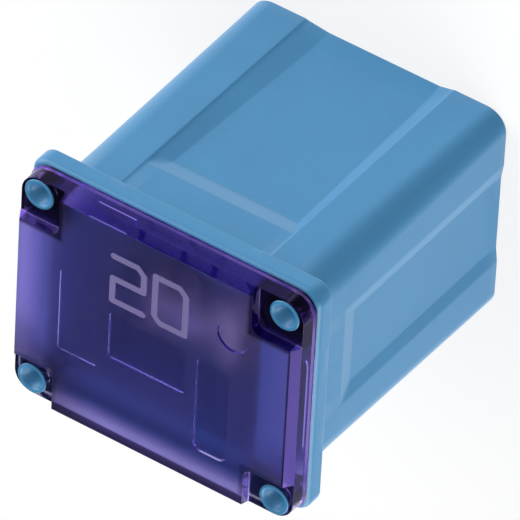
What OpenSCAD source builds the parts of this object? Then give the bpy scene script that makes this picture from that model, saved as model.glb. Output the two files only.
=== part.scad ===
// Low-profile cartridge fuse with two female blade sockets, standing on its open socket end.
// Millimetres: X along the long side, Y along the short side, Z up towards the clear cover.

/* [Body] */
// Height from the open end to the underside of the flange
body_h = 14; // [13:0.1:17]
// Radius of the body's upright corners
body_r = 1.4; // [0.9:0.1:1.8]
// Thickness of the body's outer walls
wall = 1.1; // [0.9:0.05:1.15]

/* [Flange] */
// How far the flange stands out past the body's short sides
flange_reach_l = 0.8; // [0.5:0.05:1.2]
// How far the flange stands out past the body's long sides
flange_reach_w = 0.65; // [0.5:0.05:1.2]
// Thickness of the flange
flange_t = 0.95; // [0.7:0.05:1.4]
// Corner radius of the flange
flange_r = 1.15; // [0.9:0.05:1.5]

/* [Recessed panels] */
// Distance from the flange down to the start of each panel
panel_start = 2.3; // [1.5:0.1:4]
// Length of the slope at the upper end of each panel
panel_end_slope = 0.92; // [0.5:0.02:1.6]
// Width of the slopes along the sides of each panel
panel_side_slope = 0.7; // [0.3:0.05:1]
// Length of the panel on the long sides, between its ridges
broad_panel_l = 7.5; // [5:0.1:8.5]
// Depth of the panel on the long sides
broad_panel_depth = 0.32; // [0.1:0.02:0.45]
// Width of the panel on the short sides, between its ridges
narrow_panel_w = 5.3; // [4:0.1:6.5]
// Depth of the panel on the short sides
narrow_panel_depth = 0.17; // [0.1:0.01:0.4]
// Step by which the middle of the long sides lies below the ridges
middle_step = 0.05; // [0.02:0.01:0.1]

/* [Chambers] */
// Thickness of the partition between the two socket chambers
partition_t = 1.2; // [0.8:0.1:1.6]
// Room between a spring clip and the short side of its chamber
front_room = 0.5; // [0.2:0.05:1]
// Room between a spring clip and the long sides of its chamber
side_room = 0.05; // [0.03:0.01:0.3]
// Depth of the open cavity, from the flange's top down to the shelf
cavity_depth = 4.75; // [4.2:0.05:5.2]
// Corner radius of the cavity and chambers
cavity_r = 0.5; // [0.3:0.05:0.8]
// How much shorter the cavity is at its right end than the chambers below
cavity_trim = 0.25; // [0.05:0.05:0.28]
// How much wider the cavity's mouth is, on each long side
mouth_step = 0.65; // [0.1:0.05:0.7]
// Depth of that mouth
mouth_depth = 0.75; // [0.3:0.05:0.85]
// Corner radius of the mouth
mouth_r = 1; // [0.6:0.05:1.2]
// Width of the shelf, on each side, that carries the fuse element
shelf = 0.3; // [0.2:0.05:0.4]
// Width of the ribs that locate the sockets
rib_w = 0.8; // [0.5:0.1:1.2]
// Distance of each rib from the middle
rib_offset = 2; // [1.5:0.1:2.4]
// Play between a rib and the spring clip behind it
rib_play = 0.05; // [0.03:0.01:0.15]

/* [Cover] */
// Thickness of the clear cover
cover_t = 1.35; // [1.1:0.05:1.8]
// Depth of the four corner pads below the cover's top
pad_drop = 0.47; // [0.3:0.01:0.6]
// Strip of flange that stays bare around the cover
cover_margin = 0.15; // [0.1:0.01:0.2]
// Corner radius of the cover
cover_r = 0.95; // [0.7:0.05:1.2]
// How far the cover's short sides lean in over its height
cover_lean_l = 0.28; // [0.1:0.01:0.35]
// How far the cover's long sides lean in over its height
cover_lean_w = 0.2; // [0.1:0.01:0.25]
// How far each corner pad reaches inwards past its stake
pad_reach = 1.3; // [1:0.05:1.6]
// Radius of each pad's inner corner
pad_r = 0.45; // [0.2:0.05:0.7]
// Depth of the moulded windows in the cover's top
window_depth = 0.1; // [0.05:0.01:0.2]

/* [Heat stakes] */
// Distance of the stakes from the flange's short edges
stake_inset_l = 1.1; // [1.05:0.01:1.4]
// Distance of the stakes from the flange's long edges
stake_inset_w = 0.97; // [0.95:0.01:1.3]
// Diameter of a stake's shank
stake_d = 1.2; // [1:0.05:1.25]
// Diameter of a stake's spread head
stake_head_d = 1.55; // [1.45:0.05:1.6]
// Height of the head above its pad
stake_head_h = 0.08; // [0.05:0.01:0.2]
// Depth of the dish pressed into each head, as wide as the shank
dish_depth = 0.32; // [0.25:0.01:0.4]
// Clearance between a shank and its hole
stake_clearance = 0.02; // [0.01:0.01:0.05]

/* [Fuse element] */
// Thickness of the stamped strip
strip_t = 0.4; // [0.3:0.05:0.5]
// Width of the tab blade that each socket takes
blade_w = 6.3; // [6.2:0.05:6.5]
// Thickness of the tab blade
blade_t = 0.8; // [0.7:0.05:0.9]
// Distance between the two blades
blade_pitch = 6; // [5.8:0.1:6.4]
// Play beside the blade in its socket
blade_play = 0.1; // [0.05:0.01:0.15]
// Outside radius of a socket's rolled edges
roll_r = 1.1; // [1:0.05:1.2]
// Inside radius of the folds at a socket's back
fold_r = 0.2; // [0.1:0.05:0.4]
// Set-back of the sockets from the open end
socket_set_back = 1.2; // [0.8:0.1:2]
// Height of the neck between a socket and the shelf
neck_h = 1.4; // [0.8:0.1:2]
// Width of that neck
neck_w = 5.6; // [4:0.1:6]
// Height of the shoulders that sit on the shelf
shoulder_h = 1; // [0.6:0.1:1.2]
// Play between the shoulders and the cavity walls
shoulder_play = 0.08; // [0.05:0.01:0.12]
// Height of the bridge's top above the shelf
bridge_rise = 2.6; // [2.2:0.1:3]
// Width of the bridge
bridge_w = 3; // [2.4:0.1:4]
// Inside radius of the bridge's bends
bend_r = 0.5; // [0.3:0.05:0.7]
// Width of the fusible link in the middle of the bridge
link_w = 0.9; // [0.6:0.05:1.2]
// Length of the fusible link
link_l = 3; // [2.8:0.1:3.2]
// Diameter of the eye that holds the pellet
eye_d = 2; // [1.8:0.1:2.4]

/* [Tin pellet] */
// Diameter of the pellet in its eye
pellet_d = 1.1; // [0.8:0.05:1.2]
// Diameter of the pellet's spread ends
pellet_head_d = 1.6; // [1.4:0.05:1.7]
// Height of each spread end
pellet_head_h = 0.25; // [0.15:0.05:0.4]

/* [Spring clips] */
// Thickness of the spring steel
clip_t = 0.3; // [0.2:0.02:0.34]
// Height of a clip
clip_h = 4.6; // [3:0.1:5]
// Set-back of a clip from its socket's mouth
clip_set_back = 1.5; // [0.8:0.1:2]
// Gap between the clip's lips
clip_gap = 2.4; // [2:0.1:3]

/* [Rating figures] */
// Height of the figures
figure_h = 2.68; // [2:0.02:3]
// Width of one figure
figure_w = 1.84; // [1.4:0.02:2]
// Width of a stroke
stroke = 0.29; // [0.2:0.01:0.4]
// Distance between the two figures' centres
figure_pitch = 2.13; // [2.1:0.01:2.6]
// Thickness of the print
print_t = 0.03; // [0.02:0.01:0.05]
// Place of the figures' centre on the cover
figures_at = [-0.21, 3.03];

/* [Hidden] */
$fn = 64;
eps = 0.01;
through = 60;

blade_x = blade_pitch/2;
floor_x = blade_x - blade_t/2 - strip_t;
roll_x = blade_x + blade_t/2 + strip_t/4;
socket_w = blade_w + 2*blade_play + 2*strip_t;
socket_front = roll_x + roll_r;

chamber_end = socket_front + clip_t + front_room;
chamber_l = chamber_end - partition_t/2;
chamber_w = socket_w + 2*clip_t + 2*side_room;
chamber_x = (partition_t + chamber_l)/2;
cavity_l = 2*chamber_end - cavity_trim;
cavity_w = chamber_w + 2*shelf;

body_l = 2*chamber_end + 2*wall;
body_w = cavity_w + 2*wall;
flange_l = body_l + 2*flange_reach_l;
flange_w = body_w + 2*flange_reach_w;
flange_top = body_h + flange_t;
shelf_z = flange_top - cavity_depth;

cover_l = flange_l - 2*cover_margin;
cover_w = flange_w - 2*cover_margin;
cover_top = flange_top + cover_t;
pad_z = cover_top - pad_drop;

stake_x = flange_l/2 - stake_inset_l;
stake_y = flange_w/2 - stake_inset_w;
stake_top = pad_z + stake_head_h;
dish_r = (pow(stake_d/2, 2) + pow(dish_depth, 2))/(2*dish_depth);

socket_top = shelf_z - neck_h;
socket_h = socket_top - socket_set_back;
shoulder_w = cavity_w - 2*shoulder_play;
bridge_top = shelf_z + bridge_rise;
bend_x = floor_x - bend_r;
bend_z = bridge_top - strip_t - bend_r;
bridge_mid = bridge_top - strip_t/2;

clip_back = floor_x - clip_t;
clip_z = socket_set_back + clip_set_back;
rib_l = clip_back - rib_play - partition_t/2;

// Windows moulded in the cover: centre, size and corner radius of each
link_window = [[-0.2, -0.15], [3.9, 2.4], 0.15];
left_window = [[-3.8, -0.1], [2.4, 4.3], 0.1];
right_window = [[3.12, -1.48], [1.65, 5.1], 0.4];
gate_mark_at = [4, 3];
gate_mark_d = 1.5;

module rounded_rect(size, r) {
    square([size.x - 2*r, size.y], center = true);
    square([size.x, size.y - 2*r], center = true);
    for (sx = [-1, 1], sy = [-1, 1])
        translate([sx*(size.x/2 - r), sy*(size.y/2 - r)]) circle(r);
}

module rounded_block(size, h, r) {
    linear_extrude(h) rounded_rect(size, r);
}

module at_stakes() {
    for (sx = [-1, 1], sy = [-1, 1]) translate([sx*stake_x, sy*stake_y, 0]) children();
}

// Cutter for a panel in the +Y face of a wall at distance face: a sloped trough, open at the bottom
module panel_cutter(face, width, depth) {
    run = 1;
    side = panel_side_slope/depth;
    rise = panel_end_slope/depth;
    top = body_h - panel_start;
    intersection() {
        translate([0, 0, -run]) linear_extrude(body_h + run) polygon([
            [-width/2 - run*side, face + run],
            [width/2 + run*side, face + run],
            [width/2 - depth*side, face - depth],
            [depth*side - width/2, face - depth]
        ]);
        rotate([90, 0, 90]) linear_extrude(through, center = true) polygon([
            [face + run, -run],
            [face + run, top + run*rise],
            [face - depth, top - depth*rise],
            [face - depth, -run]
        ]);
    }
}

// The broad panel starts from the slightly lower middle of the long side
module panel_cuts() {
    for (turn = [0, 180]) rotate(turn) {
        translate([-broad_panel_l/2, body_w/2 - middle_step, -eps])
            cube([broad_panel_l, 1, body_h + eps]);
        intersection() {
            panel_cutter(body_w/2 - middle_step, broad_panel_l, broad_panel_depth - middle_step);
            translate([0, 0, body_h/2]) cube([through, through, body_h + 2], center = true);
        }
    }
    for (turn = [90, 270]) rotate(turn) panel_cutter(body_l/2, narrow_panel_w, narrow_panel_depth);
}

module stake() {
    difference() {
        union() {
            translate([0, 0, flange_top - eps]) cylinder(d = stake_d, h = stake_top - flange_top + eps);
            translate([0, 0, pad_z]) cylinder(d = stake_head_d, h = stake_head_h);
        }
        translate([0, 0, stake_top - dish_depth + dish_r]) sphere(dish_r);
    }
}

module locating_ribs() {
    for (sx = [-1, 1], sy = [-1, 1])
        translate([sx*(partition_t/2 + rib_l/2 - eps), sy*rib_offset, socket_set_back])
            translate([-rib_l/2 - eps, -rib_w/2, 0]) cube([rib_l + 2*eps, rib_w, shelf_z - socket_set_back]);
}

// Blue moulding: body, flange, stakes, partition and locating ribs in one piece
module housing() color([0.35, 0.58, 0.76]) {
    difference() {
        union() {
            difference() {
                rounded_block([body_l, body_w], body_h + eps, body_r);
                panel_cuts();
            }
            translate([0, 0, body_h]) rounded_block([flange_l, flange_w], flange_t, flange_r);
        }
        translate([-cavity_trim/2, 0, shelf_z]) {
            rounded_block([cavity_l, cavity_w], cavity_depth + 1, cavity_r);
            translate([0, 0, cavity_depth - mouth_depth])
                rounded_block([cavity_l, cavity_w + 2*mouth_step], mouth_depth + 1, mouth_r);
        }
        for (side = [-1, 1]) translate([side*chamber_x, 0, -1])
            rounded_block([chamber_l, chamber_w], shelf_z + 2, cavity_r);
    }
    at_stakes() stake();
    locating_ribs();
}

// Outline of the cover with its sides leaning in, still without the corner pads
module cover_block() {
    intersection() {
        translate([0, 0, flange_top]) rounded_block([cover_l, cover_w], cover_t, cover_r);
        rotate([90, 0, 0]) linear_extrude(through, center = true) polygon([
            [-cover_l/2, flange_top],
            [cover_l/2, flange_top],
            [cover_l/2 - cover_lean_l, cover_top],
            [cover_lean_l - cover_l/2, cover_top]
        ]);
        rotate([90, 0, 90]) linear_extrude(through, center = true) polygon([
            [-cover_w/2, flange_top],
            [cover_w/2, flange_top],
            [cover_w/2 - cover_lean_w, cover_top],
            [cover_lean_w - cover_w/2, cover_top]
        ]);
    }
}

module pad_cuts() {
    reach = [stake_x - pad_reach, stake_y - pad_reach];
    size = [cover_l/2 - reach.x + 2, cover_w/2 - reach.y + 2];
    for (sx = [-1, 1], sy = [-1, 1])
        translate([sx*(reach.x + size.x/2), sy*(reach.y + size.y/2), pad_z])
            rounded_block(size, pad_drop + 1, pad_r);
}

module window_cuts() {
    for (w = [link_window, left_window, right_window])
        translate([w[0].x, w[0].y, cover_top - window_depth]) rounded_block(w[1], 1, w[2]);
    translate([gate_mark_at.x, gate_mark_at.y, cover_top - window_depth]) cylinder(d = gate_mark_d, h = 1);
}

// Clear violet moulding held down by the four stakes
module cover() color([0.3, 0.22, 0.6]) difference() {
    cover_block();
    pad_cuts();
    window_cuts();
    at_stakes() translate([0, 0, flange_top - 1]) cylinder(d = stake_d + 2*stake_clearance, h = cover_t + 2);
}

// Section of a socket: a back, two folded sides and two edges rolled in over the blade
module socket_section() {
    roll_y = socket_w/2 - roll_r;
    back_r = fold_r + strip_t;
    translate([floor_x, back_r - socket_w/2]) square([strip_t, socket_w - 2*back_r]);
    for (side = [0, 1]) mirror([0, side]) {
        translate([floor_x + back_r, socket_w/2 - back_r]) intersection() {
            arc_band(fold_r, back_r);
            translate([-back_r, 0]) square(back_r);
        }
        translate([floor_x + back_r, socket_w/2 - strip_t]) square([roll_x - floor_x - back_r, strip_t]);
        translate([roll_x, roll_y]) intersection() {
            arc_band(roll_r - strip_t, roll_r);
            translate([0, -roll_r]) square([roll_r, 2*roll_r]);
        }
        translate([blade_x + blade_t/2, roll_y - roll_r]) square([roll_x - blade_x - blade_t/2, strip_t]);
    }
}

module arc_band(inner, outer) {
    difference() {
        circle(outer);
        circle(inner);
    }
}

// Side view of the strip from shoulder to shoulder over the partition
module bridge_profile() {
    translate([-bend_x, bridge_top - strip_t]) square([2*bend_x, strip_t]);
    for (side = [0, 1]) mirror([side, 0]) {
        translate([bend_x, bend_z]) intersection() {
            arc_band(bend_r, bend_r + strip_t);
            square(bend_r + strip_t);
        }
        translate([floor_x, shelf_z]) square([strip_t, bend_z - shelf_z]);
    }
}

// Plan of the bridge: full width at both bends, a narrow link with its eye between them
module bridge_plan() {
    outer = floor_x + strip_t;
    for (side = [-1, 1])
        translate([side*(link_l/2 + outer)/2, 0]) square([outer - link_l/2, bridge_w], center = true);
    square([link_l + 2*eps, link_w], center = true);
    circle(d = eye_d);
}

// One stamped and folded strip of plated copper alloy: socket, bridge with link, socket
module fuse_element() color([0.72, 0.66, 0.58]) {
    for (side = [0, 1]) mirror([side, 0, 0]) {
        translate([0, 0, socket_set_back]) linear_extrude(socket_h) socket_section();
        translate([floor_x, -neck_w/2, socket_top - eps]) cube([strip_t, neck_w, shelf_z - socket_top + 2*eps]);
        translate([floor_x, -shoulder_w/2, shelf_z]) cube([strip_t, shoulder_w, shoulder_h]);
    }
    difference() {
        intersection() {
            rotate([90, 0, 0]) linear_extrude(bridge_w, center = true) bridge_profile();
            translate([0, 0, shelf_z]) linear_extrude(bridge_rise + 1) bridge_plan();
        }
        translate([0, 0, shelf_z]) cylinder(d = pellet_d, h = bridge_rise + 1);
    }
}

// Tin pressed through the eye of the link and spread on both sides
module tin_pellet() color([0.78, 0.79, 0.8]) {
    head_gap = strip_t/2 + pellet_head_h;
    translate([0, 0, bridge_mid - head_gap]) cylinder(d = pellet_d, h = 2*head_gap);
    translate([0, 0, bridge_top]) cylinder(d = pellet_head_d, h = pellet_head_h);
    translate([0, 0, bridge_top - strip_t - pellet_head_h]) cylinder(d = pellet_head_d, h = pellet_head_h);
}

// Steel band around a socket, which keeps its rolled edges pressed on the blade
module spring_clip() {
    roll_y = socket_w/2 - roll_r;
    back_r = fold_r + strip_t;
    outer_r = back_r + clip_t;
    translate([0, 0, clip_z]) linear_extrude(clip_h) {
        translate([clip_back, back_r - socket_w/2]) square([clip_t, socket_w - 2*back_r]);
        for (side = [0, 1]) mirror([0, side]) {
            translate([floor_x + back_r, socket_w/2 - back_r]) intersection() {
                arc_band(back_r, outer_r);
                translate([-outer_r, 0]) square(outer_r);
            }
            translate([floor_x + back_r, socket_w/2]) square([roll_x - floor_x - back_r, clip_t]);
            translate([roll_x, roll_y]) intersection() {
                arc_band(roll_r, roll_r + clip_t);
                square(roll_r + clip_t);
            }
            translate([socket_front, clip_gap/2]) square([clip_t, roll_y - clip_gap/2]);
        }
    }
}

module spring_clip_right() color([0.75, 0.76, 0.78]) spring_clip();

module spring_clip_left() color([0.75, 0.76, 0.78]) mirror([1, 0, 0]) spring_clip();

// A line of given points drawn with the print's stroke, its ends and joints round
module stroke_line(points) {
    for (i = [0:len(points) - 2]) {
        step = points[i + 1] - points[i];
        translate(points[i]) rotate(atan2(step.y, step.x)) translate([0, -stroke/2]) square([norm(step), stroke]);
    }
    for (p = points) translate(p) circle(d = stroke);
}

// The rating printed on the cover's top
module rating_print() color([0.62, 0.58, 0.8]) {
    half_h = (figure_h - stroke)/2;
    half_w = (figure_w - stroke)/2;
    cut = figure_w/6;
    translate([figures_at.x, figures_at.y, cover_top]) linear_extrude(print_t) {
        translate([-figure_pitch/2, 0]) stroke_line([
            [-half_w, half_h],
            [half_w - cut, half_h],
            [half_w, half_h - cut],
            [half_w, 0],
            [-half_w, 0],
            [-half_w, -half_h],
            [half_w, -half_h]
        ]);
        translate([figure_pitch/2, 0]) stroke_line([
            [-half_w, half_h],
            [half_w - cut, half_h],
            [half_w, half_h - cut],
            [half_w, -half_h],
            [cut - half_w, -half_h],
            [-half_w, cut - half_h],
            [-half_w, half_h]
        ]);
    }
}

housing();
cover();
fuse_element();
tin_pellet();
spring_clip_left();
spring_clip_right();
rating_print();
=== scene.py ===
"""Low-profile cartridge fuse with two female sockets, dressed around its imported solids.

The fuse stands on its open socket end: X runs along its long side, +Y towards the top of the
rating figures and +Z to the clear cover. Meshes are drawn in millimetres and turned to metres.
"""

import math

import bmesh
import bpy
from mathutils import Matrix, Vector


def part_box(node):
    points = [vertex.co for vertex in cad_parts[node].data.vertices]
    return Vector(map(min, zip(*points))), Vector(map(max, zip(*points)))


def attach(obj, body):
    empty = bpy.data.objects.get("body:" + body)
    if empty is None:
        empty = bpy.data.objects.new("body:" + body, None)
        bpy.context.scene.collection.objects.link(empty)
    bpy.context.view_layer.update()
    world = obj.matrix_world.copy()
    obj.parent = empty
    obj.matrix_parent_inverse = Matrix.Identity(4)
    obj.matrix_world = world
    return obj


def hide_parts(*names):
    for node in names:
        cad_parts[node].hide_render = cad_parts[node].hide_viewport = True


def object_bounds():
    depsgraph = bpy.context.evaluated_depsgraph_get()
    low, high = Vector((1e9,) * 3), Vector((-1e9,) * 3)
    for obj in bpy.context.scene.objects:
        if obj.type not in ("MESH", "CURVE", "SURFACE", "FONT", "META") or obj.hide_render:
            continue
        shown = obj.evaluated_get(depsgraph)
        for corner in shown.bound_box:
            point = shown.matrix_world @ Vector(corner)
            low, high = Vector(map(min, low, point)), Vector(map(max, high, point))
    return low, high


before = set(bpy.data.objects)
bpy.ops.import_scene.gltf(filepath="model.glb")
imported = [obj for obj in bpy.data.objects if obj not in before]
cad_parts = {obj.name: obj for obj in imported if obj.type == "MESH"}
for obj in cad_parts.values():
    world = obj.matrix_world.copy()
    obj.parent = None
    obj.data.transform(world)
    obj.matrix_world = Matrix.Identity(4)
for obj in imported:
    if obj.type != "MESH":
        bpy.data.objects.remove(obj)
cad_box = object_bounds()

# ---------------------------------------------------------------------------------------------
# Camera and studio. A long lens looks down on the cover, rolled so that the fuse seems to lie on
# a broad side. It stands on a pale floor, lit by an even white surround and two soft lamps.
# ---------------------------------------------------------------------------------------------

aim = (cad_box[0] + cad_box[1]) / 2 + Vector((0.00003, -0.00029, 0.00027))
camera_distance = 0.5024
camera_azimuth = math.radians(57.90)
camera_elevation = math.radians(39.35)
camera_roll = math.radians(-132.08)
camera_lens = 830.8

towards = Vector((
    math.cos(camera_elevation) * math.cos(camera_azimuth),
    math.cos(camera_elevation) * math.sin(camera_azimuth),
    math.sin(camera_elevation),
))
level = Vector((0, 0, 1)).cross(towards).normalized()
upright = towards.cross(level)
camera_right = math.cos(camera_roll) * level + math.sin(camera_roll) * upright
camera_up = towards.cross(camera_right)

camera = bpy.data.objects.new("camera", bpy.data.cameras.new("camera"))
camera.data.lens = camera_lens
camera.data.sensor_width = 36
camera.data.clip_start = 0.01
camera.data.clip_end = 20
camera.matrix_world = Matrix.Translation(aim + camera_distance * towards) @ Matrix((
    camera_right, camera_up, towards
)).transposed().to_4x4()
bpy.context.scene.collection.objects.link(camera)
bpy.context.scene.camera = camera
bpy.context.scene.view_settings.view_transform = "Standard"

# Light turns many times inside the clear cover before it leaves
bpy.context.scene.cycles.max_bounces = 32
bpy.context.scene.cycles.glossy_bounces = 24
bpy.context.scene.cycles.transmission_bounces = 32

surround_light = 0.6
floor_shadow = 0.3
floor_side = 1.2
floor_drop = 0.00001
lamp_distance = 0.34
lamp_side = 0.4

# How bright each kind of ray finds the surround, as rows of a way, where along it the light
# starts and stops changing, and the light before and after. Gloss sees a dim room on the
# viewer's side and overhead, a bright floor, and four dark cards, each where a side or a
# shoulder of the cover mirrors the surround
straight_up = (0.0, 0.0, 1.0)
gloss_pattern = (
    ((0.891, 0.454, 0.0), 0.1, 0.5, 1.0, 0.1),
    (straight_up, -0.95, -0.65, 1.5, 1.0),
    (straight_up, -0.05, 0.3, 1.0, 0.04),
    ((0.411, -0.655, -0.634), 0.99, 0.997, 1.33, 0.45),
    ((-0.411, 0.655, -0.634), 0.985, 0.997, 1.0, 0.4),
    ((-0.411, 0.906, -0.103), 0.955, 0.985, 1.0, 0.1),
    ((0.756, -0.655, 0.013), 0.955, 0.985, 1.0, 0.2),
)
plain_pattern = ((-0.53, -0.85, 0.0), 0.0, 0.6, surround_light, surround_light / 2)
through_pattern = (straight_up, 0.1, 0.6, 2.1, 1.15)


def node(tree, kind, **settings):
    """A new shader node. A setting that names an input socket gives that socket's value."""
    made = tree.nodes.new(kind)
    for name, value in settings.items():
        socket = made.inputs.get(name.replace("_", " "))
        if socket is not None:
            socket.default_value = value
        else:
            setattr(made, name, value)
    return made


def joined(tree, operation, values):
    """One value from several, taken up one after another by a maths operation."""
    total = values[0]
    for value in values[1:]:
        made = node(tree, "ShaderNodeMath", operation=operation)
        tree.links.new(total, made.inputs[0])
        tree.links.new(value, made.inputs[1])
        total = made.outputs[0]
    return total


def greatest(tree, *values):
    """The greatest of some values."""
    return joined(tree, "MAXIMUM", values)


def product(tree, *values):
    """Some values multiplied together."""
    return joined(tree, "MULTIPLY", values)


def between(tree, value, start, end, at_start, at_end):
    """A value carried over smoothly from one range to another."""
    made = node(
        tree, "ShaderNodeMapRange", interpolation_type="SMOOTHSTEP", From_Min=start, From_Max=end,
        To_Min=at_start, To_Max=at_end,
    )
    tree.links.new(value, made.inputs["Value"])
    return made.outputs["Result"]


def towards_way(tree, vector, way, *span):
    """A value that changes smoothly over its span as a vector turns towards a given way."""
    made = node(tree, "ShaderNodeVectorMath", operation="DOT_PRODUCT")
    made.inputs[1].default_value = way
    tree.links.new(vector, made.inputs[0])
    return between(tree, made.outputs["Value"], *span)


def choice(tree, switch, off, on):
    """One value where a switch is 0 and another where it is 1."""
    made = node(tree, "ShaderNodeMix")
    tree.links.new(switch, made.inputs["Factor"])
    tree.links.new(off, made.inputs["A"])
    tree.links.new(on, made.inputs["B"])
    return made.outputs[0]


# The camera sees white all round. Gloss and clear plastic see their own patterns, and so does
# the light that falls on the fuse
world = bpy.data.worlds.new("surround")
world.use_nodes = True
bpy.context.scene.world = world
tree = world.node_tree
rays = node(tree, "ShaderNodeLightPath")
outward = node(tree, "ShaderNodeTexCoord").outputs["Generated"]
gloss = product(tree, *[towards_way(tree, outward, *row) for row in gloss_pattern])
plain = towards_way(tree, outward, *plain_pattern)
through = towards_way(tree, outward, *through_pattern)
light = choice(tree, rays.outputs["Is Glossy Ray"], plain, gloss)
light = choice(tree, rays.outputs["Is Transmission Ray"], light, through)
background = tree.nodes["Background"]
background.inputs["Color"].default_value = (1, 1, 1, 1)
tree.links.new(greatest(tree, light, rays.outputs["Is Camera Ray"]), background.inputs["Strength"])

floor_mesh = bpy.data.meshes.new("floor")
floor_z = cad_box[0].z - floor_drop
floor_corners = [
    (sx * floor_side, sy * floor_side, floor_z) for sx, sy in ((-1, -1), (1, -1), (1, 1), (-1, 1))
]
floor_mesh.from_pydata(floor_corners, [], [(0, 1, 2, 3)])
floor = bpy.data.objects.new("floor", floor_mesh)
bpy.context.scene.collection.objects.link(floor)
floor.visible_glossy = False

# Where it is seen directly or through the cover, the floor glows white under the fuse's shadow
floor_paint = bpy.data.materials.new("floor paint")
floor_paint.use_nodes = True
tree = floor_paint.node_tree
tree.nodes.remove(tree.nodes["Principled BSDF"])
paper = node(tree, "ShaderNodeBsdfDiffuse", Color=(0.8, 0.8, 0.8, 1))
glow = node(tree, "ShaderNodeEmission", Color=(1, 1, 1, 1), Strength=1.06)
rays = node(tree, "ShaderNodeLightPath")
seen = greatest(tree, rays.outputs["Is Camera Ray"], rays.outputs["Is Transmission Ray"])
share = node(tree, "ShaderNodeMath", operation="MULTIPLY")
share.inputs[1].default_value = 1 - floor_shadow
mix = node(tree, "ShaderNodeMixShader")
tree.links.new(seen, share.inputs[0])
tree.links.new(share.outputs[0], mix.inputs["Fac"])
tree.links.new(paper.outputs[0], mix.inputs[1])
tree.links.new(glow.outputs[0], mix.inputs[2])
tree.links.new(mix.outputs[0], tree.nodes["Material Output"].inputs["Surface"])
floor_mesh.materials.append(floor_paint)


def soft_lamp(name, direction, power):
    """A wide, low soft box aimed at the fuse from that direction."""
    lamp = bpy.data.lights.new(name, "AREA")
    lamp.shape = "RECTANGLE"
    lamp.size = lamp_side
    lamp.size_y = lamp_side / 2
    lamp.energy = power
    box = bpy.data.objects.new(name, lamp)
    box.location = aim + lamp_distance * Vector(direction).normalized()
    box.rotation_mode = "QUATERNION"
    box.rotation_quaternion = Vector(direction).to_track_quat("Z", "Y")
    bpy.context.scene.collection.objects.link(box)


soft_lamp("left_lamp", (-0.85, 0.53, 0.35), 1.18)
soft_lamp("right_lamp", (0.6, -0.8, 0.35), 1.28)

# ---------------------------------------------------------------------------------------------
# Housing. One moulding in light-blue glass-filled nylon: a box with a flange round its upper end,
# a partition with locating ribs inside, and four stakes that are dished over the cover when hot.
# ---------------------------------------------------------------------------------------------

MM = 0.001


def millimetres(name):
    """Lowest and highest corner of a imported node, in millimetres."""
    low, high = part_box(name)
    return low / MM, high / MM


housing_high = millimetres("housing")[1]
cover_low, cover_high = millimetres("cover")
corner_signs = ((-1, -1), (-1, 1), (1, -1), (1, 1))

# The box and its flange, with their rounded edges. Pairs are along X and along Y
flange_half = (housing_high.x, housing_high.y)
flange_reach = (0.8, 0.65)
flange_top = cover_low.z
flange_t = 0.95
flange_r = 0.75
body_half = (flange_half[0] - flange_reach[0], flange_half[1] - flange_reach[1])
body_h = flange_top - flange_t
body_r = 1.4
body_r_loss = 0.35
wall = 1.1
flange_front_round = 0.3
flange_back_round = 0.1
root_round = 0.12
rim_round = 0.07
mouth_round = 0.08

# A shallow panel on each side, for the sides that face X and those that face Y. The broad ones
# have a small extra step, and all of them run out towards the open end
panel_start = body_h - 2.3
panel_end_slope = 0.92
panel_side_slope = 0.7
panel_half = (5.3 / 2, 7.5 / 2)
panel_depth = (0.17, 0.27)
panel_soft = 0.05
panel_blend = 0.06
middle_step = 0.05
middle_step_run = 0.06
middle_step_soft = 0.02
slope_widens = 0.45
slope_narrows = 0.3
open_end_share = 0.55
open_end_h = 1.2
beside_panel = 0.1
near_middle = 0.9
wall_levels = (8.0, 5.0, open_end_h, open_end_h / 2)

# The opening above the shelf with its wider mouth, and the two socket chambers below it
chamber_end = body_half[0] - wall
cavity_trim = 0.25
cavity_half = (chamber_end - cavity_trim / 2, body_half[1] - wall)
cavity_r = 0.5
mouth_step = 0.65
mouth_depth = 0.75
mouth_r = 1.0
mouth_shift = 0.24
mouth_draft = 0.02
ledge_round = 0.05
shelf_z = flange_top - 4.75
shelf = 0.3
sill_h = 0.3
sill_step = 0.02
partition_half = 0.6

# Four locating ribs that stand out from the partition
rib_w = 0.8
rib_offset = 2.0
rib_end = 1.85
rib_start = 1.2
rib_round = 0.08
rib_sunk = 0.2
rib_below_shelf = 0.03

# The stakes: shank, spread head and dish
stake_at = (flange_half[0] - 1.1, flange_half[1] - 0.97)
stake_r = 0.6
stake_head_r = 0.73
stake_head_h = 0.08
stake_head_round = 0.055
stake_head_flat = 0.03
stake_head_lift = 0.008
stake_fillet = 0.04
stake_dish_r = 0.58
stake_dish_rim = 0.05
stake_dish_depth = 0.42
pad_z = housing_high.z - stake_head_h


def arc_points(steps, start=0.0, end=90.0):
    """Cosine and sine at even steps between two angles in degrees, both ends included."""
    for i in range(steps + 1):
        angle = math.radians(start + (end - start) * i / steps)
        yield math.cos(angle), math.sin(angle)


def rounded_outline(half, radius, marks=((), ()), steps=12, centre=(0, 0)):
    """Outline points of a rounded rectangle with their outward normal, side and place along it.

    marks cut the straight sides: marks[0] those facing along X, marks[1] those facing along Y.
    radius may be a pair, for corners that are wider along one axis than the other.
    """
    rx, ry = radius if isinstance(radius, tuple) else (radius, radius)
    points = []
    for quarter in range(4):
        out = Vector((math.cos(math.pi / 2 * quarter), math.sin(math.pi / 2 * quarter)))
        along = Vector((-out.y, out.x))
        axis = quarter % 2
        for mark in marks[axis]:
            spot = out * half[axis] + along * mark
            points.append((spot.x + centre[0], spot.y + centre[1], out, axis, mark))
        corner = out * (half[axis] - (rx, ry)[axis]) + along * (half[1 - axis] - (rx, ry)[1 - axis])
        for c, s in arc_points(steps):
            turned = out * c + along * s
            spot = corner + Vector((turned.x * rx, turned.y * ry))
            points.append((spot.x + centre[0], spot.y + centre[1], turned, None, 0))
    return points


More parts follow.
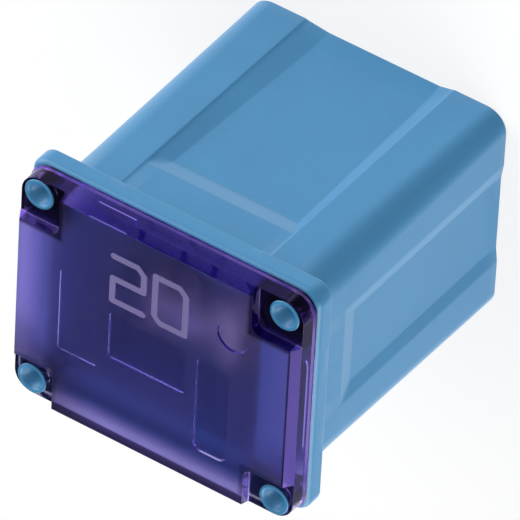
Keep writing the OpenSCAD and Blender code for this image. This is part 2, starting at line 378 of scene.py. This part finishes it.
def ring(bm, outline, z, inset=None):
    """Vertices along an outline at height z, each moved inwards by inset(side, place)."""
    verts = []
    for x, y, out, side, place in outline:
        push = inset(side, place) if inset and side is not None else 0
        verts.append(bm.verts.new((x - out.x * push, y - out.y * push, z)))
    return verts


def skin(bm, rings):
    """Quads between rings of equal length, each ring closed on itself."""
    for lower, upper in zip(rings, rings[1:]):
        for i in range(len(lower)):
            j = (i + 1) % len(lower)
            bm.faces.new((lower[i], lower[j], upper[j], upper[i]))


def cap_ends(bm, rings):
    """Closes both ends of a skin with a face."""
    bm.faces.new(rings[0])
    bm.faces.new(rings[-1])


def flat_face(bm, *loops):
    """Fills the plane between an outer ring and the rings inside it."""
    edges = []
    for loop in loops:
        for i in range(len(loop)):
            pair = (loop[i], loop[(i + 1) % len(loop)])
            edges.append(bm.edges.get(pair) or bm.edges.new(pair))
    bmesh.ops.triangle_fill(bm, edges=edges, use_beauty=True)


def lathe(bm, centre, profile, steps=48):
    """Rings about an upright axis through centre, one for each (radius, z) of the profile."""
    turns = [2 * math.pi * i / steps for i in range(steps)]
    rings = []
    for radius, z in profile:
        circle = [(centre[0] + radius * math.cos(a), centre[1] + radius * math.sin(a), z) for a in turns]
        rings.append([bm.verts.new(spot) for spot in circle])
    skin(bm, rings)
    return rings


def piece(name, bm, sharp=None):
    """A scene object in metres from a mesh drawn in millimetres."""
    bmesh.ops.recalc_face_normals(bm, faces=bm.faces)
    mesh = bpy.data.meshes.new(name)
    bm.to_mesh(mesh)
    bm.free()
    mesh.transform(Matrix.Scale(MM, 4))
    mesh.shade_smooth()
    if sharp:
        mesh.set_sharp_from_angle(angle=math.radians(sharp))
    made = bpy.data.objects.new(name, mesh)
    bpy.context.scene.collection.objects.link(made)
    return made


def settle(made):
    """Turns an object's modifiers into its mesh."""
    bpy.context.view_layer.update()
    depsgraph = bpy.context.evaluated_depsgraph_get()
    mesh = bpy.data.meshes.new_from_object(made.evaluated_get(depsgraph))
    made.modifiers.clear()
    made.data = mesh


def combine(made, tools, operation):
    """Joins tools to an object or cuts them out of it, and removes the tools."""
    for tool in tools:
        step = made.modifiers.new(tool.name, "BOOLEAN")
        step.operation = operation
        step.solver = "EXACT"
        step.object = tool
    settle(made)
    for tool in tools:
        bpy.data.objects.remove(tool)


def even_normals(made):
    """Keeps broad flat faces flat beside their rounded edges."""
    step = made.modifiers.new("even normals", "WEIGHTED_NORMAL")
    step.keep_sharp = True
    step.weight = 100


def ramp(x, run, soft):
    """0 before x = 0 and 1 after x = run, straight between, with both bends rounded."""
    def bend(t):
        if t < -soft:
            return 0
        return t if t > soft else (t + soft) ** 2 / (4 * soft)
    return (bend(x) - bend(x - run)) / run


def panel_share(z):
    """How much of its depth a panel has at height z. It runs out towards the open end."""
    return open_end_share + (1 - open_end_share) * min(z / open_end_h, 1)


def down_the_box(z):
    """0 where the panels start and 1 at the open end."""
    return 1 - min(z / panel_start, 1)


def slope_run(side, place, z):
    """How wide a panel's side slope is. On the broad sides it widens towards the open end."""
    if side == 0:
        return panel_side_slope
    if place > 0:
        return panel_side_slope + slope_widens * down_the_box(z)
    return panel_side_slope - slope_narrows * (1 - down_the_box(z))


def body_corner(z):
    """The corner radius of the box, smaller towards the open end."""
    return body_r - body_r_loss * down_the_box(z)


def panel_inset(z):
    """How far each side lies inwards at height z, as a function of side and place along it."""
    end = ramp(panel_start - z, panel_end_slope, panel_soft)

    def inset(side, place):
        edge = panel_half[side] - abs(place)
        slope = ramp(edge, slope_run(side, place, z), panel_soft)
        near = max(panel_blend - abs(slope - end), 0) / panel_blend
        low = max(min(slope, end) - near * near * panel_blend / 4, 0)
        step = 0
        if side == 1:
            step = middle_step * ramp(edge + middle_step_run / 2, middle_step_run, middle_step_soft)
        return (panel_depth[side] * low + step) * panel_share(z)
    return inset


def slope_marks(run):
    """Places across a slope where the mesh follows its two bends and its face."""
    bend = [-panel_soft, 0, panel_soft]
    return bend + [run * f for f in (0.25, 0.5, 0.75)] + [run + d for d in bend]


def side_marks(axis, z):
    """Places along a side, from one end to the other, for its panel's edges."""
    places = {0.0}
    for s in (-1, 1):
        slope = [panel_half[axis] - m for m in slope_marks(slope_run(axis, s, z))]
        places |= {round(s * m, 4) for m in slope + [panel_half[axis] + beside_panel, near_middle]}
    return sorted(places)


bm = bmesh.new()
outer = []


def outer_ring(half, radius, inset, z, panel=None):
    """Adds a ring of the flange or the box to the outside, smaller by inset."""
    marks = (side_marks(0, z), side_marks(1, z))
    outline = rounded_outline((half[0] - inset, half[1] - inset), radius - inset, marks)
    outer.append(ring(bm, outline, z, panel))


for c, s in arc_points(6):
    drop = flange_front_round
    outer_ring(flange_half, flange_r, drop * (1 - s), flange_top - drop * (1 - c))
for c, s in arc_points(3):
    lift = flange_back_round
    outer_ring(flange_half, flange_r, lift * (1 - c), body_h + lift * (1 - s))
for c, s in arc_points(3):
    outer_ring(body_half, body_r, -root_round * (1 - s), body_h - root_round * (1 - c), panel_inset(body_h))
panel_levels = [panel_start - m for m in slope_marks(panel_end_slope)]
for z in (*panel_levels, *wall_levels):
    outer_ring(body_half, body_corner(z), 0, z, panel_inset(z))
for c, s in arc_points(4):
    outer_ring(body_half, body_corner(0), rim_round * (1 - c), rim_round * (1 - s), panel_inset(0))
skin(bm, outer)


def chamber_ring(side, grow, z, outer_x=chamber_end):
    """A ring of a socket's chamber, from the partition out to outer_x, wider all round by grow."""
    half = ((outer_x - partition_half) / 2 + grow, cavity_half[1] - shelf + grow)
    centre = (side * (outer_x + partition_half) / 2, 0)
    return ring(bm, rounded_outline(half, cavity_r + grow, steps=6, centre=centre), z)


# Each chamber runs up from the open end to the shelf, where its sill ends a little short
mouths = []
sills = []
for side in (-1, 1):
    rings = [chamber_ring(side, mouth_round * (1 - c), mouth_round * (1 - s)) for s, c in arc_points(3)]
    sill_x = chamber_end - sill_step
    if side > 0:
        sill_x -= cavity_trim
    rings.append(chamber_ring(side, 0, shelf_z - sill_h))
    rings.append(chamber_ring(side, -sill_step / 4, shelf_z - sill_h, sill_x))
    rings.append(chamber_ring(side, sill_step / 2, shelf_z, sill_x))
    skin(bm, rings)
    mouths.append(rings[0])
    sills.append(rings[-1])
flat_face(bm, outer[-1], *mouths)


def cavity_ring(grow, z):
    """A ring of the opening above the shelf, wider all round by grow."""
    half = (cavity_half[0] + grow, cavity_half[1] + grow)
    return ring(bm, rounded_outline(half, cavity_r + grow, steps=8, centre=(-cavity_trim / 2, 0)), z)


def mouth_ring(grow, z):
    """A ring of the wider mouth of that opening, right under the cover."""
    half = (cavity_half[0] + grow, cavity_half[1] + grow + mouth_step)
    centre = (-cavity_trim / 2 - mouth_shift, 0)
    return ring(bm, rounded_outline(half, mouth_r + grow, steps=8, centre=centre), z)


ledge_z = flange_top - mouth_depth
cavity = [
    cavity_ring(0, shelf_z),
    cavity_ring(0, ledge_z - ledge_round),
    cavity_ring(mouth_draft, ledge_z),
    mouth_ring(2 * mouth_draft, ledge_z),
]
for c, s in arc_points(3):
    grow = 2 * mouth_draft + mouth_round * (1 - c)
    cavity.append(mouth_ring(grow, flange_top - mouth_round * (1 - s)))
skin(bm, cavity)
flat_face(bm, cavity[0], *sills)

stake_profile = [
    (stake_r + stake_fillet, flange_top),
    (stake_r, flange_top + stake_fillet),
    (stake_r, pad_z),
    (stake_head_r - stake_head_flat, pad_z + stake_head_lift),
]
stake_profile += [
    (stake_head_r - stake_head_round * (1 - c), housing_high.z - stake_head_round * (1 - s))
    for c, s in arc_points(4)
]
stake_profile.append((stake_dish_r + stake_dish_rim, housing_high.z))
dish_curve = (stake_dish_r**2 + stake_dish_depth**2) / (2 * stake_dish_depth)
dish_turn = math.degrees(math.asin(stake_dish_r / dish_curve))
stake_profile += [
    (dish_curve * s, housing_high.z - stake_dish_depth + dish_curve * (1 - c))
    for c, s in arc_points(9, dish_turn * 0.96, dish_turn * 0.08)
]
roots = []
for sx, sy in corner_signs:
    rings = lathe(bm, (sx * stake_at[0], sy * stake_at[1]), stake_profile)
    roots.append(rings[0])
    bm.faces.new(rings[-1])
flat_face(bm, outer[0], cavity[-1], *roots)

housing = piece("housing_moulding", bm)

rib_low = (partition_half - rib_sunk, -rib_w / 2, rib_start)
rib_high = (rib_end, rib_w / 2, shelf_z - rib_below_shelf)
ribs = []
for sx, sy in corner_signs:
    bm = bmesh.new()
    bmesh.ops.create_cube(bm, size=1)
    for v in bm.verts:
        v.co = Vector([rib_low[i] if v.co[i] < 0 else rib_high[i] for i in range(3)])
    bmesh.ops.bevel(bm, geom=bm.edges[:], offset=rib_round, segments=2, affect="EDGES", profile=0.5)
    for v in bm.verts:
        v.co = Vector((sx * v.co.x, sy * rib_offset + v.co.y, v.co.z))
    ribs.append(piece("rib", bm))
combine(housing, ribs, "UNION")
housing.data.shade_smooth()
housing.data.set_sharp_from_angle(angle=math.radians(50))
even_normals(housing)

# The moulded skin has a fine matte grain, and its pigment is a little uneven. The grain is fine
# specks with a share of broader clouds, and it swings the colour and roughness about their values
cloud_scale = 420.0
cloud_share = 0.6
mean_grain = 0.8
grain = bpy.data.node_groups.new("fine grain", "ShaderNodeTree")
for name, kind, default in (
    ("Colour", "NodeSocketColor", (1, 1, 1, 1)),
    ("Size", "NodeSocketFloat", 0.1),
    ("Tone", "NodeSocketFloat", 0.05),
    ("Roughness", "NodeSocketFloat", 0.5),
):
    grain.interface.new_socket(name, in_out="INPUT", socket_type=kind).default_value = default
for name, kind in (
    ("Colour", "NodeSocketColor"),
    ("Roughness", "NodeSocketFloat"),
    ("Height", "NodeSocketFloat"),
):
    grain.interface.new_socket(name, in_out="OUTPUT", socket_type=kind)
g_in = node(grain, "NodeGroupInput")
g_out = node(grain, "NodeGroupOutput")
place = node(grain, "ShaderNodeTexCoord")
fineness = node(grain, "ShaderNodeMath", operation="DIVIDE")
fineness.inputs[0].default_value = 1 / MM
grain.links.new(g_in.outputs["Size"], fineness.inputs[1])
specks = node(grain, "ShaderNodeTexNoise", Detail=3.0, Roughness=0.6)
grain.links.new(place.outputs["Object"], specks.inputs["Vector"])
grain.links.new(fineness.outputs[0], specks.inputs["Scale"])
clouds = node(grain, "ShaderNodeTexNoise", Scale=cloud_scale, Detail=2.0)
grain.links.new(place.outputs["Object"], clouds.inputs["Vector"])
blend = node(grain, "ShaderNodeMath", operation="MULTIPLY_ADD")
blend.inputs[1].default_value = cloud_share
grain.links.new(clouds.outputs["Fac"], blend.inputs[0])
grain.links.new(specks.outputs["Fac"], blend.inputs[2])
swing = node(grain, "ShaderNodeMath", operation="MULTIPLY_ADD")
swing.inputs[2].default_value = 1.0
centred = node(grain, "ShaderNodeMath", operation="SUBTRACT")
centred.inputs[1].default_value = mean_grain
grain.links.new(blend.outputs[0], centred.inputs[0])
grain.links.new(centred.outputs[0], swing.inputs[0])
grain.links.new(g_in.outputs["Tone"], swing.inputs[1])
tint = node(grain, "ShaderNodeVectorMath", operation="SCALE")
grain.links.new(g_in.outputs["Colour"], tint.inputs[0])
grain.links.new(swing.outputs[0], tint.inputs["Scale"])
grain.links.new(tint.outputs[0], g_out.inputs["Colour"])
rough = node(grain, "ShaderNodeMath", operation="MULTIPLY", use_clamp=True)
grain.links.new(g_in.outputs["Roughness"], rough.inputs[0])
grain.links.new(swing.outputs[0], rough.inputs[1])
grain.links.new(rough.outputs[0], g_out.inputs["Roughness"])
grain.links.new(specks.outputs["Fac"], g_out.inputs["Height"])


def grained(name, colour, size, tone, roughness, height, **settings):
    """A material whose colour, roughness and relief come from the fine grain."""
    made = bpy.data.materials.new(name)
    made.use_nodes = True
    tree = made.node_tree
    shader = tree.nodes["Principled BSDF"]
    for socket, value in settings.items():
        shader.inputs[socket.replace("_", " ")].default_value = value
    fine = node(tree, "ShaderNodeGroup", node_tree=grain)
    fine.inputs["Colour"].default_value = (*colour, 1)
    fine.inputs["Size"].default_value = size
    fine.inputs["Tone"].default_value = tone
    fine.inputs["Roughness"].default_value = roughness
    tree.links.new(fine.outputs["Colour"], shader.inputs["Base Color"])
    tree.links.new(fine.outputs["Roughness"], shader.inputs["Roughness"])
    relief = node(tree, "ShaderNodeBump", Strength=1.0, Distance=height)
    tree.links.new(fine.outputs["Height"], relief.inputs["Height"])
    tree.links.new(relief.outputs["Normal"], shader.inputs["Normal"])
    return made


housing_nylon = grained(
    "housing nylon", (0.045, 0.225, 0.44), size=0.09, tone=0.2, roughness=0.4, height=0.000004
)
housing.data.materials.append(housing_nylon)
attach(housing, "root")
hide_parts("housing")

# ---------------------------------------------------------------------------------------------
# Cover. One clear violet polycarbonate moulding, a thick plate with leaning sides. A pad at each
# corner lies lower and takes a stake, and shallow windows and a gate mark are moulded in its top.
# ---------------------------------------------------------------------------------------------

# The plate, its upright foot and its shoulder, where the sides start to lean in
cover_half = (cover_high.x, cover_high.y)
cover_r = 0.95
cover_lean = (0.28, 0.17)
cover_shift = 0.05
shoulder_drop = 0.45
shoulder_share = 0.1
foot_reach = 0.07
foot_h = 0.2
cover_base = cover_low.z + 0.015
cover_top = cover_high.z - 0.005
edge_round = 0.06

# The pads with their holes, and the marks in the top: a centre, half sizes, corners and a depth
pad_reach = 1.3
pad_inner = (stake_at[0] - pad_reach, stake_at[1] - pad_reach)
pad_r = 0.45
pad_round = 0.08
pad_draft = 0.05
notch_half = 3.0
hole_r = 0.62
above = 0.4
gate_mark_at = (4.0, 3.0)
gate_mark_r = 0.75
gate_mark_draft = 0.1
window_draft = 0.02
window_depth = 0.1
shallow_depth = 0.07
windows = (
    ((-0.2, -0.15), (1.95, 1.2), 0.15, window_depth),
    ((-3.72, -0.1), (0.98, 2.15), 0.1, shallow_depth),
    ((3.12, -1.48), (0.825, 2.55), 0.4, window_depth),
)


def cover_ring(bm, z, share, reach=0.0):
    """A ring of the cover's side, drawn in by its share of the lean at the top or reaching out."""
    inset = [lean * share - reach for lean in cover_lean]
    half = (cover_half[0] - inset[0], cover_half[1] - inset[1])
    radius = (cover_r - inset[0], cover_r - inset[1])
    centre = (0, -cover_shift * share)
    return ring(bm, rounded_outline(half, radius, steps=10, centre=centre), z)


def tapered_block(name, centre, half, radius, low, high, draft, round_low=0.0):
    """A rounded block that widens upwards by draft, with its lower edge rounded."""
    bm = bmesh.new()
    rings = []
    turns = arc_points(4) if round_low else [(1, 1)]
    for c, s in turns:
        inset = round_low * (1 - s)
        size = (half[0] - inset, half[1] - inset)
        outline = rounded_outline(size, max(radius - inset, 0.02), steps=8, centre=centre)
        rings.append(ring(bm, outline, low + round_low * (1 - c)))
    grown = (half[0] + draft, half[1] + draft)
    rings.append(ring(bm, rounded_outline(grown, radius + draft, steps=8, centre=centre), high))
    skin(bm, rings)
    cap_ends(bm, rings)
    return piece(name, bm)


def rounded_edges(made, width, segments, from_angle, sharp):
    """Rounds the edges that turn by more than from_angle, and keeps those past sharp crisp."""
    made.data.set_sharp_from_angle(angle=math.radians(180))
    step = made.modifiers.new("rounded edges", "BEVEL")
    step.limit_method = "ANGLE"
    step.angle_limit = math.radians(from_angle)
    step.width = width * MM
    step.segments = segments
    settle(made)
    made.data.shade_smooth()
    made.data.set_sharp_from_angle(angle=math.radians(sharp))
    even_normals(made)


def turned_piece(name, centre, profile, steps=48, sharp=None):
    """A solid turned about an upright axis through centre."""
    bm = bmesh.new()
    cap_ends(bm, lathe(bm, centre, profile, steps))
    return piece(name, bm, sharp)


bm = bmesh.new()
rings = [
    cover_ring(bm, cover_base, 0, foot_reach),
    cover_ring(bm, cover_base + foot_h / 2, 0, foot_reach),
    cover_ring(bm, cover_base + foot_h, 0),
    cover_ring(bm, cover_top - shoulder_drop, shoulder_share),
    cover_ring(bm, cover_top, 1),
]
skin(bm, rings)
cap_ends(bm, rings)
cover = piece("clear_cover", bm)

notches = []
holes = []
hole_profile = ((hole_r, cover_low.z - above), (hole_r, cover_high.z + above))
for sx, sy in corner_signs:
    notch_at = (sx * (pad_inner[0] + notch_half), sy * (pad_inner[1] + notch_half))
    notches.append(tapered_block(
        "notch", notch_at, (notch_half, notch_half), pad_r, pad_z, cover_high.z + above,
        pad_draft, pad_round,
    ))
    holes.append(turned_piece("hole", (sx * stake_at[0], sy * stake_at[1]), hole_profile))
marks = [
    tapered_block("window", centre, half, radius, cover_high.z - depth, cover_high.z + above, window_draft)
    for centre, half, radius, depth in windows
]
gate_profile = (
    (gate_mark_r, cover_high.z - window_depth),
    (gate_mark_r + gate_mark_draft, cover_high.z - window_depth + above),
)
marks.append(turned_piece("gate mark", gate_mark_at, gate_profile))
for tools in (notches, holes, marks):
    combine(cover, tools, "DIFFERENCE")
rounded_edges(cover, edge_round, segments=3, from_angle=25, sharp=40)

# The top is frosted, most towards its rims. The sides are polished, but their feet and the
# shoulders of the short sides are matt, and there a deeper violet colour is painted light, standing
# in for bright violet light carried through the plastic. The pads and the right and lower rims of
# the top are painted nearly black, as painted shade
clear_tone = (0.93, 0.9, 1.0, 1)
# Painted shade: a near-black colour given to the pads and to the right and lower rims of the top
painted_shade_tone = (0.03, 0.016, 0.05, 1)
# Painted light: a deeper violet for the matt feet and shoulders, standing in for bright violet light
# carried through the plastic there
violet_light_tone = (0.85, 0.42, 1.0, 1)
absorbed_tone = (0.61, 0.56, 0.86, 1)
frost_middle = 0.37
frost_right = 0.62
frost_rim = 0.72
slope_roughness = 0.5
lower_pad_shade_share = 0.7

# Where the finish, the painted light and the painted shade change on the cover, from one place
# to another in millimetres
top_band = (cover_top - 0.13, cover_top - 0.08)
shoulder_band = (cover_top - shoulder_drop - 0.05, cover_top - shoulder_drop + 0.01)
foot_band = (cover_base + foot_h + 0.02, cover_base + foot_h + 0.08)
right_frost = (4.6, 7.0)
left_frost = (-6.6, -4.4)
lower_frost = (-5.3, -4.0)
short_side = (6.8, 6.86)
right_rim_shade = (6.72, 6.8)
lower_rim_shade = (-5.36, -5.24)
pad_shade_over = (-4.0, 4.0)
pad_shade_along = [(inner - 0.34, inner - 0.1) for inner in pad_inner]

cover_plastic = bpy.data.materials.new("violet polycarbonate")
cover_plastic.use_nodes = True
tree = cover_plastic.node_tree
shader = tree.nodes["Principled BSDF"]
place = node(tree, "ShaderNodeTexCoord")


def parts_of(vector, operation=None):
    """The three parts of a vector, after a vector operation if one is named."""
    if operation:
        changed = node(cover_plastic.node_tree, "ShaderNodeVectorMath", operation=operation)
        cover_plastic.node_tree.links.new(vector, changed.inputs[0])
        vector = changed.outputs[0]
    parts = node(cover_plastic.node_tree, "ShaderNodeSeparateXYZ")
    cover_plastic.node_tree.links.new(vector, parts.inputs[0])
    return parts.outputs


def zone(value, band, at_start=0, at_end=1):
    """A mask over the cover that changes from one place to another, in millimetres."""
    return between(cover_plastic.node_tree, value, band[0] * MM, band[1] * MM, at_start, at_end)


def toned(mask, colour, base):
    """A base colour that gives way to another where the mask is 1."""
    made = node(cover_plastic.node_tree, "ShaderNodeMix", data_type="RGBA")
    factor, base_colour, full_colour = (made.inputs[i] for i in (0, 6, 7))
    cover_plastic.node_tree.links.new(mask, factor)
    full_colour.default_value = colour
    if isinstance(base, tuple):
        base_colour.default_value = base
    else:
        cover_plastic.node_tree.links.new(base, base_colour)
    return made.outputs[2]


across = parts_of(place.outputs["Object"])
spot = parts_of(place.outputs["Object"], "ABSOLUTE")
facing = parts_of(place.outputs["Normal"], "ABSOLUTE")
level_face = between(tree, facing["Z"], 0.95, 0.99, 0, 1)
not_level = between(tree, facing["Z"], 0.9, 0.95, 1, 0)
not_upright = between(tree, facing["Z"], 0.3, 0.5, 0, 1)

on_top = zone(spot["Z"], top_band)
frost = greatest(
    tree,
    zone(across["X"], right_frost, frost_middle, frost_right),
    zone(across["X"], left_frost, frost_rim, frost_middle),
    zone(across["Y"], lower_frost, frost_rim, frost_middle),
)
shoulder = product(tree, zone(spot["X"], short_side), zone(spot["Z"], shoulder_band), not_level)
foot = product(tree, zone(spot["Z"], foot_band, 1, 0), not_upright, not_level)
# The feet and shoulders are matt, and the same mask also gives them the painted violet light
matt_and_violet_light = greatest(tree, shoulder, foot)
roughness = greatest(
    tree,
    product(tree, on_top, level_face, frost),
    between(tree, matt_and_violet_light, 0, 1, 0, slope_roughness),
)
# Painted shade over the corner pads, a little lighter on the lower ones
pad_shade = product(
    tree,
    zone(spot["X"], pad_shade_along[0]),
    zone(spot["Y"], pad_shade_along[1]),
    zone(across["Y"], pad_shade_over, lower_pad_shade_share, 1),
)
# Painted shade along the right and lower rims of the top, joined with the pads' painted shade
rim_shade = greatest(tree, zone(across["X"], right_rim_shade), zone(across["Y"], lower_rim_shade, 1, 0))
painted_shade = greatest(tree, pad_shade, product(tree, on_top, rim_shade))
# The colour takes the painted violet light on the matt bands and the painted shade on the pads and rims
colour = toned(matt_and_violet_light, violet_light_tone, toned(painted_shade, painted_shade_tone, clear_tone))
tree.links.new(roughness, shader.inputs["Roughness"])
tree.links.new(colour, shader.inputs["Base Color"])
shader.inputs["IOR"].default_value = 1.58
shader.inputs["Specular Tint"].default_value = (0.4, 0.3, 1.0, 1)
shader.inputs["Transmission Weight"].default_value = 1.0
absorb = node(tree, "ShaderNodeVolumeAbsorption", Color=absorbed_tone, Density=1 / MM)
tree.links.new(absorb.outputs[0], tree.nodes["Material Output"].inputs["Volume"])
cover.data.materials.append(cover_plastic)
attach(cover, "root")
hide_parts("cover")

# ---------------------------------------------------------------------------------------------
# Rating figures. A thin film of lavender ink, pad-printed on the cover's top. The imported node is
# already the film's true shape, so it only gets its ink.
# ---------------------------------------------------------------------------------------------

ink = grained("rating ink", (0.17, 0.145, 0.33), size=0.12, tone=0.3, roughness=0.5, height=0.000002)
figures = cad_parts["rating_print"]
figures.data.materials.clear()
figures.data.materials.append(ink)

# ---------------------------------------------------------------------------------------------
# Fuse element. One strip of copper alloy, tin-plated, stamped and folded: two sockets with edges
# rolled in over the blade, necks, shoulders that sit on the shelf, and a bridge with a thin link.
# ---------------------------------------------------------------------------------------------

# Sockets: where the blades stand, and how the strip is rolled over them and folded behind
element_low, element_high = millimetres("fuse_element")
strip_t = 0.4
blade_x = 3.0
blade_t = 0.8
roll_r = 1.1
back_r = 0.6
socket_half = 3.65
socket_top = shelf_z - 1.4
socket_back = blade_x - blade_t / 2 - strip_t
roll_at = (blade_x + blade_t / 2 + strip_t / 4, socket_half - roll_r)
fold_at = (socket_back + back_r, socket_half - back_r)

# Necks, shoulders and the bridge with its link and eye
neck_half = 2.8
neck_root = 0.3
neck_fillet = 0.1
shoulder_half = element_high.y
shoulder_h = 1.0
shoulder_foot_r = 0.12
shoulder_top_r = 0.25
bridge_half = 1.5
bridge_fillet = 0.3
bridge_top = element_high.z
flat_inside = 0.01
flat_above = 0.1
flat_play = 0.003
bend_r = 0.5
link_at = 1.25
link_blend = 0.3
link_half = 0.45
eye_r = 1.0
eye_blend = 0.2
pellet_r = 0.55
cut_edge = 0.04
run_steps = 44


def arc_line(centre, radius, start, end, steps=10):
    """Points of an arc, for the middle line of a folded strip."""
    turns = arc_points(steps, start, end)
    return [Vector((centre[0] + radius * c, centre[1] + radius * s)) for c, s in turns]


def half_thickness(line, i, thickness):
    """The step from point i of a middle line to the strip's face there."""
    ahead = (line[min(i + 1, len(line) - 1)] - line[max(i - 1, 0)]).normalized()
    return Vector((-ahead.y, ahead.x)) * thickness / 2


def plate(name, lower, upper):
    """A flat-ended solid between two rings of points of equal length."""
    bm = bmesh.new()
    rings = [[bm.verts.new(spot) for spot in loop] for loop in (lower, upper)]
    skin(bm, rings)
    for loop in rings:
        flat_face(bm, loop)
    return piece(name, bm)


def folded_band(name, line, thickness, low, high):
    """A strip that stands on its edge along a plan line, from height low to high."""
    steps = [half_thickness(line, i, thickness) for i in range(len(line))]
    outline = [spot + step for spot, step in zip(line, steps)]
    outline += [spot - step for spot, step in zip(line, steps)][::-1]
    return plate(name, *[[(x, y, z) for x, y in outline] for z in (low, high)])


def mirrored(line):
    """The same line on the other side of the fuse."""
    return [Vector((-p.x, p.y)) for p in line]


def both_sides(half_line):
    """A line from its right half, carried on over the middle to the left."""
    return half_line + mirrored(reversed(half_line))


def front_and_back(half_line):
    """A plan line from its rear half, carried on round the front."""
    return half_line + [Vector((p.x, -p.y)) for p in reversed(half_line)]


roll_line = [Vector((blade_x + blade_t / 2, roll_at[1] - roll_r + strip_t / 2))]
roll_line += arc_line(roll_at, roll_r - strip_t / 2, -90, 90, 20)
roll_line += arc_line(fold_at, back_r - strip_t / 2, 90, 180, 8)
socket_line = front_and_back(roll_line)

# The flat of the strip above each socket: half of its outline, from the foot of the neck upwards
flat_top = bridge_half - flat_inside
flat_half = [Vector((neck_half, socket_top - neck_root))]
for y, z, radius, start, end, count in (
    (neck_half + neck_fillet, shelf_z - neck_fillet, neck_fillet, 180, 90, 3),
    (shoulder_half - shoulder_foot_r, shelf_z + shoulder_foot_r, shoulder_foot_r, -90, 0, 4),
    (shoulder_half - shoulder_top_r, shelf_z + shoulder_h - shoulder_top_r, shoulder_top_r, 0, 90, 5),
    (flat_top + bridge_fillet, shelf_z + shoulder_h + bridge_fillet, bridge_fillet, -90, -180, 5),
):
    flat_half += arc_line((y, z), radius, start, end, count)
flat_half += [Vector((flat_top, bridge_top - strip_t - bend_r - flat_above))]
flat_outline = both_sides(flat_half)

parts = []
flat_x = socket_back + strip_t / 2
flat_d = strip_t / 2 - flat_play
for side, line in ((1, socket_line), (-1, mirrored(socket_line))):
    parts.append(folded_band("socket", line, strip_t, element_low.z, socket_top))
    faces = [[(side * x, y, z) for y, z in flat_outline] for x in (flat_x - flat_d, flat_x + flat_d)]
    parts.append(plate("flat", *faces))


def bridge_width(x):
    """Half the bridge's width at x: wide at its ends, thin along the link, round about the eye."""
    t = min(max((abs(x) - link_at) / link_blend, 0), 1)
    half = link_half + (bridge_half - link_half) * t * t * (3 - 2 * t)
    eye = math.sqrt(max(eye_r**2 - x * x, 0))
    near = max(eye_blend - abs(half - eye), 0) / eye_blend
    return max(half, eye) + near * near * eye_blend / 4


bend_at = (socket_back - bend_r, bridge_top - strip_t - bend_r)
rise = [Vector((bend_at[0] + bend_r + strip_t / 2, bend_at[1] - neck_root))]
rise += arc_line(bend_at, bend_r + strip_t / 2, 0, 90, 8)
span = [
    Vector((bend_at[0] * (1 - 2 * i / run_steps), bridge_top - strip_t / 2)) for i in range(1, run_steps)
]
bridge_line = rise + span + mirrored(reversed(rise))
bm = bmesh.new()
sections = []
for i, spot in enumerate(bridge_line):
    half = bridge_width(spot.x)
    step = half_thickness(bridge_line, i, strip_t)
    sections.append([
        bm.verts.new((spot.x + sx * step.x, sy * half, spot.y + sx * step.y))
        for sx, sy in ((1, 1), (1, -1), (-1, -1), (-1, 1))
    ])
skin(bm, sections)
cap_ends(bm, sections)
element = piece("folded_element", bm)
combine(element, parts, "UNION")
eye = turned_piece("eye", (0, 0), ((pellet_r, bridge_top - 1), (pellet_r, bridge_top + 1)), steps=40)
combine(element, [eye], "DIFFERENCE")
rounded_edges(element, cut_edge, segments=2, from_angle=40, sharp=50)

copper = grained(
    "plated copper alloy", (0.58, 0.53, 0.47), size=0.16, tone=0.35, roughness=0.36, height=0.000003,
    Metallic=1.0,
)
element.data.materials.append(copper)
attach(element, "root")
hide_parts("fuse_element")

# ---------------------------------------------------------------------------------------------
# Tin pellet. A slug of tin pressed through the eye of the link and spread on both sides, which
# alloys with the link and melts it on a long overload.
# ---------------------------------------------------------------------------------------------

pellet_high = millimetres("tin_pellet")[1]
pellet_head_r = pellet_high.x
pellet_round = 0.09
pellet_rise = 0.03
pellet_gap = 0.002
pellet_flat = (0.3, 0.004)
pellet_tip_r = 0.02

pellet_half = [(pellet_tip_r, pellet_high.z), (pellet_flat[0], pellet_high.z - pellet_flat[1])]
pellet_half += [
    (pellet_head_r - pellet_round * (1 - c), pellet_high.z - pellet_rise - pellet_round * (1 - s))
    for s, c in arc_points(5)
]
pellet_half += [
    (pellet_head_r, bridge_top + 0.02),
    (pellet_head_r - 0.02, bridge_top + pellet_gap),
    (pellet_r - 0.01, bridge_top + pellet_gap),
]
strip_middle = bridge_top - strip_t / 2
pellet_profile = pellet_half + [(r, 2 * strip_middle - z) for r, z in reversed(pellet_half)]
pellet = turned_piece("pressed_pellet", (0, 0), pellet_profile, steps=40, sharp=50)
pellet.data.materials.append(grained(
    "dull tin", (0.6, 0.61, 0.62), size=0.14, tone=0.4, roughness=0.5, height=0.000006, Metallic=1.0
))
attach(pellet, "root")
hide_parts("tin_pellet")

# ---------------------------------------------------------------------------------------------
# Spring clips. Two bands of stainless spring steel, bent round the sockets, which keep their
# rolled edges pressed on the blades.
# ---------------------------------------------------------------------------------------------

clip_low, clip_high = millimetres("spring_clip_right")
clip_t = 0.3
clip_gap = 2.4
clip_edge = 0.05
clip_play = 0.004
clip_half = [Vector((clip_high.x - clip_t / 2, clip_gap / 2))]
clip_half += arc_line(roll_at, roll_r + clip_t / 2, 0, 90, 12)
clip_half += arc_line(fold_at, back_r + clip_t / 2, 90, 180, 10)
clip_line = front_and_back(clip_half)
spring_steel = grained(
    "spring steel", (0.5, 0.51, 0.53), size=0.12, tone=0.3, roughness=0.3, height=0.000002, Metallic=1.0
)
for name, line in (("spring_clip_right", clip_line), ("spring_clip_left", mirrored(clip_line))):
    clip = folded_band("bent_" + name, line, clip_t - clip_play, clip_low.z, clip_high.z)
    rounded_edges(clip, clip_edge, segments=2, from_angle=40, sharp=50)
    clip.data.materials.append(spring_steel)
    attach(clip, "root")
    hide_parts(name)
